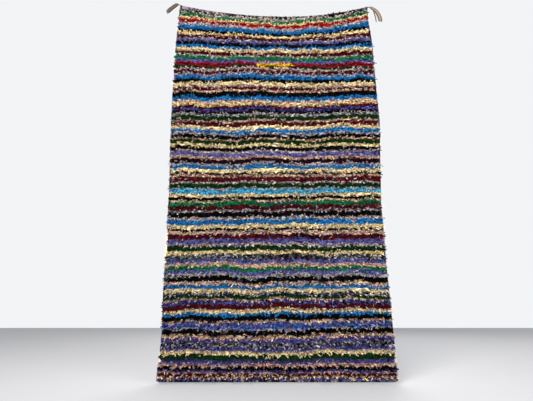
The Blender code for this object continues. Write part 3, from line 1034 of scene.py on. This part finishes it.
def makeGround():
    shares = np.linspace(0, 1, weave["columns"] + 1)
    half = weave["knotShare"] / 2
    rise = weave["knotRise"]
    parts = (
        # end of the strip as a share of the line, depth there, first and last V
        (half, 0.0, 0.0, 0.5),
        (half * 2, rise, 0.5, 1.0),
        (1.0, rise, 1.0, 3.0),
    )
    drops = [rug["heading"] - 0.001]
    depths = [rise]
    strips = []
    for kind, top, tall in readChart():
        count = max(1, round(tall / pile["linePitch"]))
        total = sum(share for name, share in mixes[kind])
        dye = sum(linear(name) * share for name, share in mixes[kind]) / total
        for step in range(count):
            for end, depth, low, high in parts:
                drops.append(top + tall * (step + end) / count)
                depths.append(depth)
                strips.append((linear("weft") if end == 1.0 else dye, dye, low, high))
    points = []
    for drop, depth in zip(drops, depths):
        left = leftEdge(drop) + weave["clear"]
        right = rightEdge(drop) - weave["clear"]
        x = left + (right - left) * shares
        z = clothHeight(x, drop) + liftOfRows(x, drop)
        points.append(np.column_stack([x, np.full(len(x), -depth), z]))
    across = len(shares)
    faces = []
    tints = []
    paintedShadeUnderPile = []
    corners = []
    for row, (dye, under, low, high) in enumerate(strips):
        for column in range(across - 1):
            start = row * across + column
            faces.append((start, start + 1, start + across + 1, start + across))
            u = shares[column] * weave["knotsAcross"]
            v = shares[column + 1] * weave["knotsAcross"]
            corners += [(u, low), (v, low), (v, high), (u, high)]
            tints += [(*dye, 1)] * 4
            # painted shade: the front takes each row's dye, darkened as if shaded by the pile
            paintedShadeUnderPile += [(*under * weave["underPileShade"], 1)] * 4
    mesh = meshFrom("ground_weave", np.concatenate(points), faces)
    unwrap(mesh, "yarn", corners)
    for label, colours in (("yarnColour", tints), ("underColour", paintedShadeUnderPile)):
        layer = mesh.attributes.new(label, "FLOAT_COLOR", "CORNER")
        layer.data.foreach_set("color", np.asarray(colours, np.float32).ravel())
    mesh.materials.append(wovenWool)
    piece = newObject("ground_weave", mesh)
    thick = piece.modifiers.new("thickness", "SOLIDIFY")
    thick.thickness = weave["thickness"]
    thick.offset = -1
    graph = bpy.context.evaluated_depsgraph_get()
    piece.data = bpy.data.meshes.new_from_object(piece.evaluated_get(graph))
    piece.modifiers.remove(thick)
    shadeFront(piece.data)
    return piece


ground = makeGround()
print("ground woven")

# The flat-woven bands at the top and at the foot.
band = {
    "columns": 130,
    "thickness": 0.0042,
    "ribPitch": 0.0030,
    "ribRise": 0.0008,
    "warps": 216,
    "gap": 0.0003,              # clearance to the cord at each side
    "wornShare": 0.16,          # share of the top band, from the left, that is worn paler
    "yarns": ["black", "smoke", "weft"],
    "shares": [0.6, 0.34, 0.06],
    "wornShares": [0.2, 0.75, 0.05],
}


def makeBand(name, top, bottom):
    # A closed band whose ribs of weft run across it, front and back. The top one is worn pale at the left.
    ribs = round((bottom - top) / band["ribPitch"])
    steps = ribs * 4
    section = []                # share of the band's height, depth, rib
    for step in range(steps + 1):
        rise = band["ribRise"] * abs(math.sin(math.pi * ribs * step / steps))
        section.append((step / steps, band["thickness"] - band["ribRise"] + rise, ribs * step / steps))
    for step in range(steps, -1, -1):
        rise = band["ribRise"] * abs(math.sin(math.pi * ribs * step / steps))
        section.append((step / steps, band["ribRise"] - rise, ribs * step / steps))
    count = len(section)
    points = []
    tints = []
    for column in range(band["columns"] + 1):
        worn = top == 0 and column < band["columns"] * band["wornShare"]
        dye = linear(dice.choice(band["yarns"], p=band["wornShares"] if worn else band["shares"]))
        for down, depth, rib in section:
            drop = top + (bottom - top) * down
            left = leftEdge(drop) + rug["selvedge"] + band["gap"]
            right = rightEdge(drop) - rug["selvedge"] - band["gap"]
            x = left + (right - left) * column / band["columns"]
            points.append((x, -depth, float(clothHeight(x, drop))))
            tints.append(dye)
    faces = []
    corners = []
    for column in range(band["columns"]):
        u = band["warps"] * column / band["columns"]
        v = band["warps"] * (column + 1) / band["columns"]
        for place in range(count):
            after = (place + 1) % count
            start = column * count
            faces.append((start + place, start + after, start + count + after, start + count + place))
            low, high = section[place][2], section[after][2]
            corners += [(u, low), (u, high), (v, high), (v, low)]
    last = band["columns"] * count
    faces.append(tuple(range(count - 1, -1, -1)))
    faces.append(tuple(range(last, last + count)))
    corners += [(0, 0)] * (2 * count)
    mesh = meshFrom(name, points, faces)
    paint(mesh, "yarnColour", tints)
    unwrap(mesh, "yarn", corners)
    mesh.materials.append(wovenWool)
    return newObject(name, mesh)


heading = makeBand("heading_weave", 0.0, rug["heading"])
footBand = makeBand("foot_weave", rug["length"] - rug["footBand"], rug["length"])
print("bands woven")

# The overcast cord along each side: yarn wrapped round and round the outermost warps.
cord = {
    "pitch": 0.0034,
    "halfWidth": 0.0034,
    "halfThickness": 0.0019,
    "yarnRadius": 0.0011,
    "yarnHeight": 1.5,          # a wrap is this much taller than thick
    "steps": 10,
    "sides": 4,
    "slant": 0.0012,
    "endGap": 0.0020,           # from the last wrap to the corner
    "depth": 0.0031,            # middle of the cord in front of the back
    "probe": 0.01,              # length over which the cord's direction is taken
    "unevenness": 0.05,
}

# Yarn and length in millimetres, from the top down. The list starts again where it ends.
cordChart = {
    "left": """
        black 16, smoke 14, black 40, taupe 60, smoke 115, mint 71, smoke 45, rose 50, aubergine 60,
        smoke 80, black 60, smoke 90, black 60, taupe 30, smoke 120, black 60, smoke 90, taupe 39,
        cream 100, smoke 90, black 70, wine 25, smoke 100, black 60, cream 30, smoke 90
    """,
    "right": """
        black 14, taupe 16, smoke 90, black 60, smoke 100, taupe 40, smoke 100, black 80, smoke 120,
        taupe 40, black 90, smoke 110, black 60, smoke 170, rose 25, smoke 115, black 60, smoke 70, rose 20,
        smoke 70, black 45, wine 45, taupe 40, smoke 90
    """,
}


def makeWrap():
    # One turn of yarn round the cord. Z runs along the cord.
    points = []
    faces = []
    corners = []
    steps, sides = cord["steps"], cord["sides"]
    for step in range(steps):
        angle = 2 * math.pi * step / steps
        outward = Vector((math.cos(angle), math.sin(angle), 0))
        centre = Vector((
            cord["halfWidth"] * math.cos(angle),
            cord["halfThickness"] * math.sin(angle),
            cord["slant"] * math.cos(angle),
        ))
        for side in range(sides):
            around = 2 * math.pi * side / sides
            offset = outward * math.cos(around) + Vector((0, 0, 1)) * math.sin(around) * cord["yarnHeight"]
            points.append(centre + offset * cord["yarnRadius"])
    for step in range(steps):
        here, there = step * sides, (step + 1) % steps * sides
        for side in range(sides):
            after = (side + 1) % sides
            faces.append((here + side, there + side, there + after, here + after))
            u, v = side / sides, (side + 1) / sides
            start, end = step / steps, (step + 1) / steps
            corners += [(u, start), (u, end), (v, end), (v, start)]
    mesh = meshFrom("wrap", points, faces)
    unwrap(mesh, "yarn", corners)
    return bpy.data.objects.new("wrap", mesh)


def makeCord(name, side, wrap, seed):
    runs = []
    for entry in cordChart[side].split(","):
        yarn, tall = entry.split()
        runs.append((yarn, int(tall) / 1000))
    edgeAt = leftEdge if side == "left" else rightEdge
    inward = 1 if side == "left" else -1
    places = []
    colours = []
    aims = []
    drop = cord["endGap"]
    run = 0
    left = runs[0][1]
    while drop < rug["length"] - cord["endGap"]:
        x = edgeAt(drop) + inward * rug["selvedge"] / 2
        ahead = edgeAt(drop + cord["probe"]) - edgeAt(drop)
        places.append((x, -cord["depth"], float(clothHeight(x, drop))))
        colours.append(linear(runs[run % len(runs)][0]))
        aims.append((0, -math.atan2(ahead, cord["probe"]), 0))
        drop += cord["pitch"]
        left -= cord["pitch"]
        if left <= 0:
            run += 1
            left += runs[run % len(runs)][1]
    even = np.ones(len(places))
    cloud = pointCloud("wraps", places, colours, aims, even, even)
    settings = {"Wrap": wrap, "Unevenness": cord["unevenness"], "Seed": seed, "Wool": cordWool}
    return growOn(name, cloud, stitchTree, settings)


wrapForm = makeWrap()
leftCord = makeCord("overcast_left", "left", wrapForm, 7)
rightCord = makeCord("overcast_right", "right", wrapForm, 8)
bpy.data.objects.remove(wrapForm, do_unlink=True)
print("sides overcast")

# The corner ties: a woollen tape rolled in from both sides, thin where it leaves the corner.
tie = {
    "seat": 0.00765,
    "thickness": 0.005,
    "waist": 0.45,              # thickness between the two rolls, as a share
    "steps": 6,                 # rings from one station to the next
    "frays": 16,
    "frayLength": 0.009,
    "frayRadius": 0.0005,
    "rollShare": 0.9,           # the most of the tape's width that one roll takes
    "waistFrom": 0.0006,        # rolls nearer to the tape's middle than this leave no waist
    # painted shade: the rolls take the darker edge colour, and the groove between them comes up to the tape's
    # own
    "groove": ((0.35, 0.8), (0.0, 1.0), (-0.35, 0.8)),     # place between the rolls, share of light
    "sway": 0.05,
    "swayPace": 0.9,
    "unevenness": 0.00012,
    "yarnDensity": 60,          # steps of the yarn's UV in a metre of tape
    "frayInset": 0.001,
    "frayDepth": 0.0012,
    "frayReach": (0.35, 1.0),
    "fullWidth": 0.008,         # frays of a tape narrower than this are shorter
    "fan": 0.5,
    "fanScatter": 0.15,
    "frayTone": (0.6, 1.1),
    "frayTaper": 0.25,
    "fraySag": 0.0010,
    "fraySpread": 0.42,         # frays leave the tape this far to both sides of its middle, as a share
}

# Stations of a tie: x, depth in front of the back, z, width.
leftTie = (
    (-0.4415, tie["seat"], 0.0550, 0.0030),
    (-0.4480, tie["seat"], 0.0585, 0.0030),
    (-0.4525, 0.0085, 0.0605, 0.0039),
    (-0.4570, 0.0090, 0.0605, 0.0120),
    (-0.4640, 0.0095, 0.0575, 0.0180),
    (-0.4750, 0.0095, 0.0485, 0.0190),
    (-0.4880, 0.0090, 0.0365, 0.0200),
    (-0.4990, 0.0080, 0.0255, 0.0200),
    (-0.5030, 0.0075, 0.0215, 0.0160),
)
rightTie = (
    (0.4315, tie["seat"], 0.0450, 0.0030),
    (0.4370, tie["seat"], 0.0470, 0.0030),
    (0.4420, 0.0085, 0.0465, 0.0042),
    (0.4480, 0.0090, 0.0440, 0.0105),
    (0.4580, 0.0095, 0.0375, 0.0145),
    (0.4680, 0.0095, 0.0290, 0.0165),
    (0.4760, 0.0090, 0.0190, 0.0178),
    (0.4820, 0.0085, 0.0075, 0.0188),
    (0.4865, 0.0080, -0.0060, 0.0190),
    (0.4895, 0.0075, -0.0200, 0.0195),
    (0.4903, 0.0070, -0.0265, 0.0165),
)
rightStrand = (
    (0.4560, 0.0090, 0.0370, 0.0050),
    (0.4600, 0.0085, 0.0280, 0.0050),
    (0.4640, 0.0080, 0.0140, 0.0050),
    (0.4670, 0.0075, -0.0020, 0.0050),
    (0.4690, 0.0070, -0.0180, 0.0048),
    (0.4700, 0.0065, -0.0300, 0.0036),
)


def smoothPath(stations):
    # A smooth curve through the stations, with their widths.
    stations = np.array(stations)
    padded = np.vstack([2 * stations[0] - stations[1], stations, 2 * stations[-1] - stations[-2]])
    path = []
    for number in range(len(stations) - 1):
        before, start, end, beyond = padded[number : number + 4]
        for step in range(tie["steps"]):
            t = step / tie["steps"]
            path.append(0.5 * (
                2 * start
                + (end - before) * t
                + (2 * before - 5 * start + 4 * end - beyond) * t**2
                + (3 * start - before - 3 * end + beyond) * t**3
            ))
    path.append(stations[-1])
    return np.array(path)


def tapeFrame(here, ahead):
    # The tape's own directions: along it, across it and out of its front.
    tangent = Vector((ahead[0] - here[0], here[1] - ahead[1], ahead[2] - here[2])).normalized()
    across = tangent.cross(Vector((0, 1, 0))).normalized()
    return tangent, across, across.cross(tangent).normalized()


def tapeSection(width):
    # The tape cut across: two rolls and the thinner part between them. The last value is the share of light.
    roll = min(tie["thickness"], width * tie["rollShare"]) / 2
    reach = width / 2 - roll
    waist = roll * tie["waist"] if reach > tie["waistFrom"] else roll
    outline = []
    for side in (1, -1):
        for step in range(7):
            angle = math.radians((-100 if side == 1 else 80) + 200 * step / 6)
            outline.append((side * reach + roll * math.cos(angle), roll * math.sin(angle), 0.0))
        for share, light in tie["groove"]:
            outline.append((side * reach * share, waist * side, light))
    return outline


def addTape(points, faces, corners, tints, stations, dye, seed):
    shapes = np.random.default_rng(seed)
    path = smoothPath(stations)
    first = len(points)
    for number, (x, depth, z, width) in enumerate(path):
        here = Vector((x, -depth, z))
        tangent, across, front = tapeFrame(path[max(number - 1, 0)], path[min(number + 1, len(path) - 1)])
        sway = 1 + tie["sway"] * math.sin(number * tie["swayPace"] + seed)
        for u, v, light in tapeSection(width * sway):
            jitter = shapes.normal(0, tie["unevenness"], 2)
            points.append(here + across * (u + jitter[0]) + front * (v + jitter[1]))
            # painted shade: the rolls of the tape take the darker edge colour, and the part between them the
            # tape's own dye
            tints.append(linear(dye + "Edge") * (1 - light) + linear(dye) * light)
    count = (len(points) - first) // len(path)
    along = 0.0
    for number in range(len(path) - 1):
        apart = float(np.linalg.norm(path[number + 1][:3] - path[number][:3]))
        ahead = along + tie["yarnDensity"] * apart
        here, there = first + number * count, first + (number + 1) * count
        for place in range(count):
            after = (place + 1) % count
            faces.append((here + place, here + after, there + after, there + place))
            u, v = place / count, (place + 1) / count
            corners += [(u, along), (v, along), (v, ahead), (u, ahead)]
        along = ahead
    last = first + (len(path) - 1) * count
    faces.append(tuple(first + place for place in range(count - 1, -1, -1)))
    faces.append(tuple(last + place for place in range(count)))
    corners += [(0, 0)] * (2 * count)


def addFrays(points, faces, corners, tints, stations, dye, seed):
    # Loose ends of yarn at the end of the tape.
    shapes = np.random.default_rng(seed)
    end = np.array(stations[-1])
    tangent, across, front = tapeFrame(np.array(stations[-2]), end)
    for number in range(tie["frays"]):
        place = shapes.uniform(-tie["fraySpread"], tie["fraySpread"])
        root = Vector((end[0], -end[1], end[2])) + across * place * end[3] - tangent * tie["frayInset"]
        root += front * shapes.uniform(-tie["frayDepth"], tie["frayDepth"])
        reach = tie["frayLength"] * shapes.uniform(*tie["frayReach"]) * min(1, end[3] / tie["fullWidth"])
        aside = place * tie["fan"] + shapes.normal(0, tie["fanScatter"])
        aim = (tangent + across * aside + front * shapes.normal(0, tie["fanScatter"])).normalized()
        first = len(points)
        tint = linear(dye) * shapes.uniform(*tie["frayTone"])
        for step in range(4):
            centre = root + aim * reach * step / 3 - Vector((0, 0, tie["fraySag"])) * (step / 3) ** 2
            radius = tie["frayRadius"] * (1 - tie["frayTaper"] * step / 3)
            for side in range(3):
                angle = 2 * math.pi * side / 3
                points.append(centre + (across * math.cos(angle) + front * math.sin(angle)) * radius)
                tints.append(tint)
        for step in range(3):
            here, there = first + step * 3, first + step * 3 + 3
            low, high = step / 3, (step + 1) / 3
            for side in range(3):
                after = (side + 1) % 3
                u, v = side / 3, (side + 1) / 3
                faces.append((here + side, here + after, there + after, there + side))
                corners += [(u, low), (v, low), (v, high), (u, high)]
        faces.append((first + 2, first + 1, first))
        faces.append((first + 9, first + 10, first + 11))
        corners += [(0, 0)] * 6


def makeTie(name, tapes, dye, seed):
    points = []
    faces = []
    corners = []
    tints = []
    for number, stations in enumerate(tapes):
        addTape(points, faces, corners, tints, stations, dye, seed + number)
        addFrays(points, faces, corners, tints, stations, dye, seed + 10 + number)
    mesh = meshFrom(name, points, faces)
    paint(mesh, "yarnColour", tints)
    unwrap(mesh, "yarn", corners)
    mesh.materials.append(tieWool)
    return newObject(name, mesh)


leftTape = makeTie("tape_left", (leftTie,), "brownTape", 31)
rightTape = makeTie("tape_right", (rightTie, rightStrand), "fawnTape", 32)
print("ties made")

# Stage, light and world.
stage = {
    "floorSize": 9.0,
    "floorColour": (0.32, 0.32, 0.33),
    "floorRoughness": 0.7,
    "roomColour": (0.89, 0.90, 0.92),
    "roomStrength": 1.0,
}


def makeFloor():
    half = stage["floorSize"] / 2
    low = rug["floor"]
    corners = [(-half, -half, low), (half, -half, low), (half, half, low), (-half, half, low)]
    floor = newObject("floor", meshFrom("floor", corners, [(0, 1, 2, 3)], smooth=False))
    paintwork = bpy.data.materials.new("paleFloor")
    paintwork.use_nodes = True
    shader = paintwork.node_tree.nodes["Principled BSDF"]
    shader.inputs["Base Color"].default_value = (*stage["floorColour"], 1)
    shader.inputs["Roughness"].default_value = stage["floorRoughness"]
    floor.data.materials.append(paintwork)


lights = (
    # name, place, height aimed at, size, spread in degrees, power, colour
    ("key", (-1.0, -2.5, 0.4), -0.25, 1.4, 95, 104.0, (1.0, 0.985, 0.96)),
    ("fill", (1.9, -2.6, 0.2), -0.4, 2.0, 120, 46.0, (0.98, 0.98, 1.0)),
    ("back", (0.6, 2.6, 0.9), -0.75, 2.0, 180, 60.0, (1.0, 1.0, 1.0)),
)


def makeLights():
    for name, place, height, size, spread, power, colour in lights:
        data = bpy.data.lights.new(name, "AREA")
        data.size = size
        data.energy = power
        data.color = colour
        data.spread = math.radians(spread)
        lamp = newObject(name, data)
        lamp.location = place
        aim = Vector((0, 0, height)) - Vector(place)
        lamp.rotation_euler = aim.to_track_quat("-Z", "Y").to_euler()


def makeWorld():
    world = bpy.data.worlds.new("paleRoom")
    world.use_nodes = True
    room = world.node_tree.nodes["Background"]
    room.inputs["Color"].default_value = (*stage["roomColour"], 1)
    room.inputs["Strength"].default_value = stage["roomStrength"]
    bpy.context.scene.world = world


makeFloor()
makeLights()
makeWorld()
bpy.context.scene.view_settings.view_transform = "Standard"
print("stage and lights set")

# Everything rides on the one body.
standsFor = (
    # pieces, the solid they stand for, material slot
    (pilePieces, "rug_pile", "pile"),
    ([ground], "rug_pile", "ground"),
    ([heading], "heading_top", "ground"),
    ([footBand], "woven_end_foot", "ground"),
    ([leftCord], "selvedge_left", "selvedge"),
    ([rightCord], "selvedge_right", "selvedge"),
    ([leftTape], "corner_tie_left", "tie"),
    ([rightTape], "corner_tie_right", "tie"),
)
for pieces, node, slot in standsFor:
    for piece in pieces:
        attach(piece, "root")
        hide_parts(node)
        print(piece.name, sum(len(face.vertices) - 2 for face in piece.data.polygons), "triangles")
